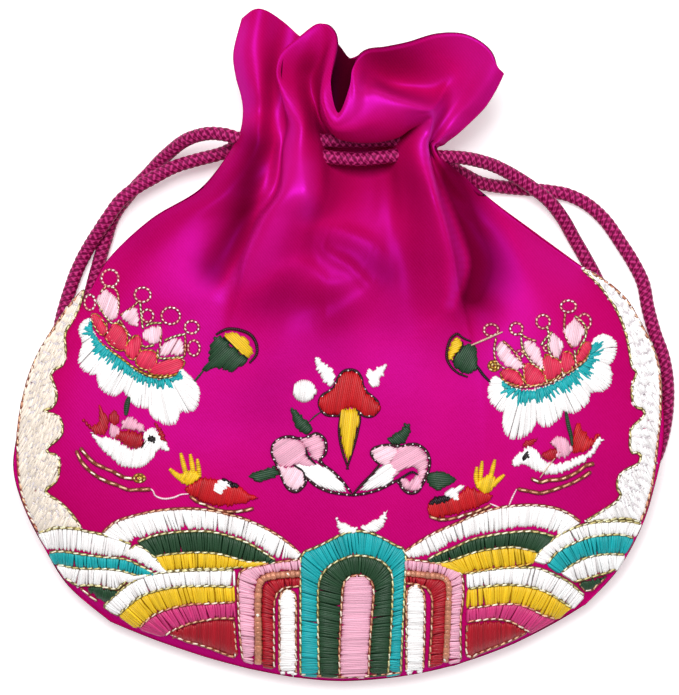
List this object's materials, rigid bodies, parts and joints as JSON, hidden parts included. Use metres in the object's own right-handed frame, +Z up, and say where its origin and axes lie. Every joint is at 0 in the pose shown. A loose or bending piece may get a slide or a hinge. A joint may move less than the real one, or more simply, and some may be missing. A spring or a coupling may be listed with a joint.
{
  "type": "drawstring pouch",
  "caption": "Round satin lucky pouch with a gathered ruffled mouth, braided cords drawn through its pleats and an embroidered face.",
  "frame": {"origin": "under the middle of the pouch's box, without its loose cords, on the surface that it lies on", "axes": "+Z up out of the embroidered face, +Y from the bottom seam to the mouth, +X to the right as seen from above"},
  "size_m": [0.1327, 0.1352, 0.0269],
  "materials": {
    "satin": "crimson and magenta satin with a fine diagonal twill",
    "braid": "round braided cord, dull sheen",
    "silk_thread": "padded satin stitches of floss silk in ten colours",
    "gold_thread": "couched metal thread with small dark gaps"
  },
  "bodies": {
    "root": {"front_panel": "satin", "back_panel": "satin", "cord_left_front": "braid", "cord_left_back": "braid", "cord_right_front": "braid", "cord_right_back": "braid", "cord_left_neck": "braid", "cord_right_neck": "braid", "knot_left": "braid", "knot_right": "braid"}
  },
  "joints": []
}
